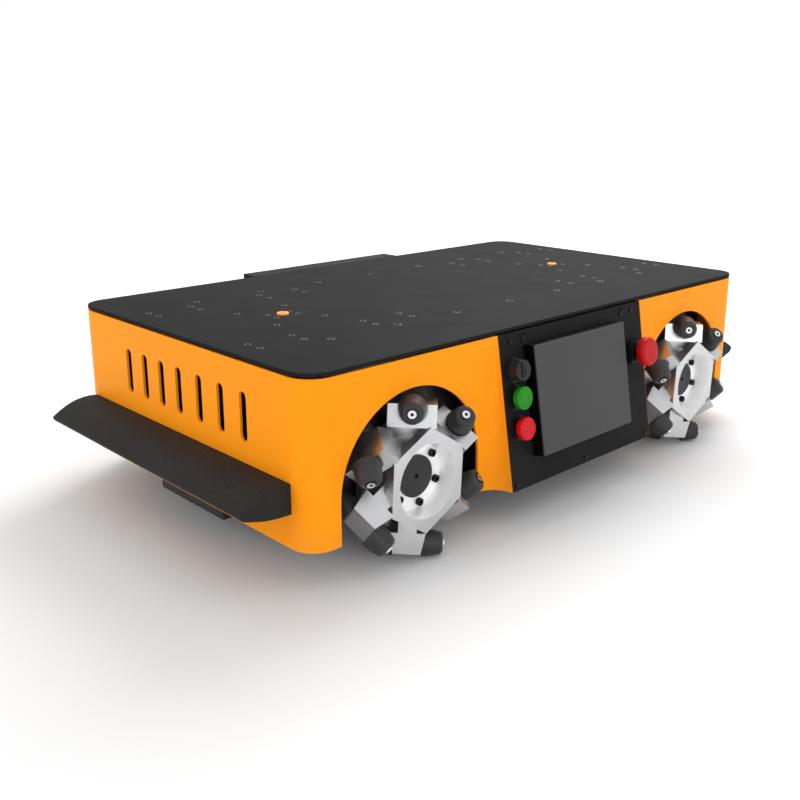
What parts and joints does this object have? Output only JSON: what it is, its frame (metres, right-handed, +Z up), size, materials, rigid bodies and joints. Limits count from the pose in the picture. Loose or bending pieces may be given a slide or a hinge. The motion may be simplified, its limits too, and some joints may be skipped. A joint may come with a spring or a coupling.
{
  "type": "mecanum wheel robot base",
  "caption": "Low omnidirectional robot base: rounded orange shells, flat drilled deck, side control panel with stop button, mecanum wheels with paired angled rollers, front and rear bumpers.",
  "frame": {"origin": "on the floor, midway between the four wheels, under the middle of the deck", "axes": "+X forward towards the bumper with the guide sensor under it, +Y to the left side that carries the control panel, +Z up"},
  "size_m": [0.759, 0.436, 0.1892],
  "materials": {
    "deck_black": "fine textured powder coat",
    "orange_cap": "satin",
    "frame_steel": "zinc plated sheet",
    "orange_shell": "satin paint",
    "panel_black": "matt",
    "display_black": "matt",
    "screen_glass": "switched-off screen",
    "bezel_black": "moulded",
    "green_lens": "gloss",
    "red_lens": "gloss",
    "knob_black": "satin",
    "estop_red": "gloss",
    "bumper_black": "pebbled rubber",
    "sensor_black": "matt",
    "motor_metal": "cast",
    "battery_blue": "shrink wrap",
    "heatsink": "anodised",
    "dark_steel": "black oxide",
    "hub_aluminium": "machined",
    "cap_black": "matt",
    "bright_steel": "polished",
    "roller_rubber": "moulded rubber"
  },
  "bodies": {
    "base": {"deck_plate": "deck_black", "deck_caps": "orange_cap", "chassis_frame": "frame_steel", "front_shell": "orange_shell", "rear_shell": "orange_shell", "left_panel": "panel_black", "right_panel": "panel_black", "display_module": "display_black", "display_glass": "screen_glass", "button_bezels": "bezel_black", "estop_base": "bezel_black", "front_bumper": "bumper_black", "rear_bumper": "bumper_black", "guide_sensor": "sensor_black", "gear_motors": "motor_metal", "battery_pack": "battery_blue", "motor_controller": "heatsink", "machine_screws": "dark_steel"},
    "fl_wheel": {"fl_wheel_hub": "hub_aluminium", "fl_hub_cap": "cap_black", "fl_roller_axles": "bright_steel"},
    "fl_roller_1": {"fl_roller_1": "roller_rubber"},
    "fl_roller_2": {"fl_roller_2": "roller_rubber"},
    "fl_roller_3": {"fl_roller_3": "roller_rubber"},
    "fl_roller_4": {"fl_roller_4": "roller_rubber"},
    "fl_roller_5": {"fl_roller_5": "roller_rubber"},
    "fl_roller_6": {"fl_roller_6": "roller_rubber"},
    "fr_wheel": {"fr_wheel_hub": "hub_aluminium", "fr_hub_cap": "cap_black", "fr_roller_axles": "bright_steel"},
    "fr_roller_1": {"fr_roller_1": "roller_rubber"},
    "fr_roller_2": {"fr_roller_2": "roller_rubber"},
    "fr_roller_3": {"fr_roller_3": "roller_rubber"},
    "fr_roller_4": {"fr_roller_4": "roller_rubber"},
    "fr_roller_5": {"fr_roller_5": "roller_rubber"},
    "fr_roller_6": {"fr_roller_6": "roller_rubber"},
    "rl_wheel": {"rl_wheel_hub": "hub_aluminium", "rl_hub_cap": "cap_black", "rl_roller_axles": "bright_steel"},
    "rl_roller_1": {"rl_roller_1": "roller_rubber"},
    "rl_roller_2": {"rl_roller_2": "roller_rubber"},
    "rl_roller_3": {"rl_roller_3": "roller_rubber"},
    "rl_roller_4": {"rl_roller_4": "roller_rubber"},
    "rl_roller_5": {"rl_roller_5": "roller_rubber"},
    "rl_roller_6": {"rl_roller_6": "roller_rubber"},
    "rr_wheel": {"rr_wheel_hub": "hub_aluminium", "rr_hub_cap": "cap_black", "rr_roller_axles": "bright_steel"},
    "rr_roller_1": {"rr_roller_1": "roller_rubber"},
    "rr_roller_2": {"rr_roller_2": "roller_rubber"},
    "rr_roller_3": {"rr_roller_3": "roller_rubber"},
    "rr_roller_4": {"rr_roller_4": "roller_rubber"},
    "rr_roller_5": {"rr_roller_5": "roller_rubber"},
    "rr_roller_6": {"rr_roller_6": "roller_rubber"},
    "green_button": {"green_button": "green_lens"},
    "red_button": {"red_button": "red_lens"},
    "key_switch_knob": {"key_switch_knob": "knob_black"},
    "estop_plunger": {"estop_plunger": "bezel_black"},
    "estop_head": {"estop_head": "estop_red"}
  },
  "joints": [
    {"name": "fl_wheel_spin", "type": "hinge", "parent": "base", "child": "fl_wheel", "pos_m": [0.2155, 0.1832, 0.07592], "axis": [0, 1, 0], "continuous": true},
    {"name": "fl_roller_1_spin", "type": "hinge", "parent": "fl_wheel", "child": "fl_roller_1", "pos_m": [0.2122, 0.1832, 0.13883], "axis": [0.7061, 0.7071, 0.037], "continuous": true},
    {"name": "fl_roller_2_spin", "type": "hinge", "parent": "fl_wheel", "child": "fl_roller_2", "pos_m": [0.26834, 0.1832, 0.11023], "axis": [0.3851, 0.7071, -0.593], "continuous": true},
    {"name": "fl_roller_3_spin", "type": "hinge", "parent": "fl_wheel", "child": "fl_roller_3", "pos_m": [0.27163, 0.1832, 0.04732], "axis": [-0.321, 0.7071, -0.63], "continuous": true},
    {"name": "fl_roller_4_spin", "type": "hinge", "parent": "fl_wheel", "child": "fl_roller_4", "pos_m": [0.2188, 0.1832, 0.013], "axis": [-0.7061, 0.7071, -0.037], "continuous": true},
    {"name": "fl_roller_5_spin", "type": "hinge", "parent": "fl_wheel", "child": "fl_roller_5", "pos_m": [0.16266, 0.1832, 0.04161], "axis": [-0.3851, 0.7071, 0.593], "continuous": true},
    {"name": "fl_roller_6_spin", "type": "hinge", "parent": "fl_wheel", "child": "fl_roller_6", "pos_m": [0.15937, 0.1832, 0.10452], "axis": [0.321, 0.7071, 0.63], "continuous": true},
    {"name": "fr_wheel_spin", "type": "hinge", "parent": "base", "child": "fr_wheel", "pos_m": [0.2155, -0.1832, 0.07592], "axis": [0, 1, 0], "continuous": true},
    {"name": "fr_roller_1_spin", "type": "hinge", "parent": "fr_wheel", "child": "fr_roller_1", "pos_m": [0.2122, -0.1832, 0.13883], "axis": [0.7061, -0.7071, 0.037], "continuous": true},
    {"name": "fr_roller_2_spin", "type": "hinge", "parent": "fr_wheel", "child": "fr_roller_2", "pos_m": [0.26834, -0.1832, 0.11023], "axis": [0.3851, -0.7071, -0.593], "continuous": true},
    {"name": "fr_roller_3_spin", "type": "hinge", "parent": "fr_wheel", "child": "fr_roller_3", "pos_m": [0.27163, -0.1832, 0.04732], "axis": [-0.321, -0.7071, -0.63], "continuous": true},
    {"name": "fr_roller_4_spin", "type": "hinge", "parent": "fr_wheel", "child": "fr_roller_4", "pos_m": [0.2188, -0.1832, 0.013], "axis": [-0.7061, -0.7071, -0.037], "continuous": true},
    {"name": "fr_roller_5_spin", "type": "hinge", "parent": "fr_wheel", "child": "fr_roller_5", "pos_m": [0.16266, -0.1832, 0.04161], "axis": [-0.3851, -0.7071, 0.593], "continuous": true},
    {"name": "fr_roller_6_spin", "type": "hinge", "parent": "fr_wheel", "child": "fr_roller_6", "pos_m": [0.15937, -0.1832, 0.10452], "axis": [0.321, -0.7071, 0.63], "continuous": true},
    {"name": "rl_wheel_spin", "type": "hinge", "parent": "base", "child": "rl_wheel", "pos_m": [-0.2155, 0.1832, 0.07592], "axis": [0, 1, 0], "continuous": true},
    {"name": "rl_roller_1_spin", "type": "hinge", "parent": "rl_wheel", "child": "rl_roller_1", "pos_m": [-0.2188, 0.1832, 0.13883], "axis": [0.7061, 0.7071, 0.037], "continuous": true},
    {"name": "rl_roller_2_spin", "type": "hinge", "parent": "rl_wheel", "child": "rl_roller_2", "pos_m": [-0.16266, 0.1832, 0.11023], "axis": [0.3851, 0.7071, -0.593], "continuous": true},
    {"name": "rl_roller_3_spin", "type": "hinge", "parent": "rl_wheel", "child": "rl_roller_3", "pos_m": [-0.15937, 0.1832, 0.04732], "axis": [-0.321, 0.7071, -0.63], "continuous": true},
    {"name": "rl_roller_4_spin", "type": "hinge", "parent": "rl_wheel", "child": "rl_roller_4", "pos_m": [-0.2122, 0.1832, 0.013], "axis": [-0.7061, 0.7071, -0.037], "continuous": true},
    {"name": "rl_roller_5_spin", "type": "hinge", "parent": "rl_wheel", "child": "rl_roller_5", "pos_m": [-0.26834, 0.1832, 0.04161], "axis": [-0.3851, 0.7071, 0.593], "continuous": true},
    {"name": "rl_roller_6_spin", "type": "hinge", "parent": "rl_wheel", "child": "rl_roller_6", "pos_m": [-0.27163, 0.1832, 0.10452], "axis": [0.321, 0.7071, 0.63], "continuous": true},
    {"name": "rr_wheel_spin", "type": "hinge", "parent": "base", "child": "rr_wheel", "pos_m": [-0.2155, -0.1832, 0.07592], "axis": [0, 1, 0], "continuous": true},
    {"name": "rr_roller_1_spin", "type": "hinge", "parent": "rr_wheel", "child": "rr_roller_1", "pos_m": [-0.2188, -0.1832, 0.13883], "axis": [0.7061, -0.7071, 0.037], "continuous": true},
    {"name": "rr_roller_2_spin", "type": "hinge", "parent": "rr_wheel", "child": "rr_roller_2", "pos_m": [-0.16266, -0.1832, 0.11023], "axis": [0.3851, -0.7071, -0.593], "continuous": true},
    {"name": "rr_roller_3_spin", "type": "hinge", "parent": "rr_wheel", "child": "rr_roller_3", "pos_m": [-0.15937, -0.1832, 0.04732], "axis": [-0.321, -0.7071, -0.63], "continuous": true},
    {"name": "rr_roller_4_spin", "type": "hinge", "parent": "rr_wheel", "child": "rr_roller_4", "pos_m": [-0.2122, -0.1832, 0.013], "axis": [-0.7061, -0.7071, -0.037], "continuous": true},
    {"name": "rr_roller_5_spin", "type": "hinge", "parent": "rr_wheel", "child": "rr_roller_5", "pos_m": [-0.26834, -0.1832, 0.04161], "axis": [-0.3851, -0.7071, 0.593], "continuous": true},
    {"name": "rr_roller_6_spin", "type": "hinge", "parent": "rr_wheel", "child": "rr_roller_6", "pos_m": [-0.27163, -0.1832, 0.10452], "axis": [0.321, -0.7071, 0.63], "continuous": true},
    {"name": "green_button_press", "type": "slide", "parent": "base", "child": "green_button", "axis": [0, -0.9862, -0.1655], "range_m": [0, 0.003], "stiffness_N_per_m": 600, "springref_m": -0.0015},
    {"name": "red_button_press", "type": "slide", "parent": "base", "child": "red_button", "axis": [0, -0.9862, -0.1655], "range_m": [0, 0.003], "stiffness_N_per_m": 600, "springref_m": -0.0015},
    {"name": "key_switch_turn", "type": "hinge", "parent": "base", "child": "key_switch_knob", "pos_m": [0.094, 0.19717, 0.14867], "axis": [0, 0.9862, 0.1655], "range_deg": [0, 90]},
    {"name": "estop_press", "type": "slide", "parent": "base", "child": "estop_plunger", "axis": [0, -0.9862, -0.1655], "range_m": [0, 0.004]},
    {"name": "estop_twist", "type": "hinge", "parent": "estop_plunger", "child": "estop_head", "pos_m": [-0.0985, 0.21469, 0.13488], "axis": [0, 0.9862, 0.1655], "range_deg": [-35, 0], "stiffness_Nm_per_rad": 0.05, "springref_deg": 5.73}
  ]
}
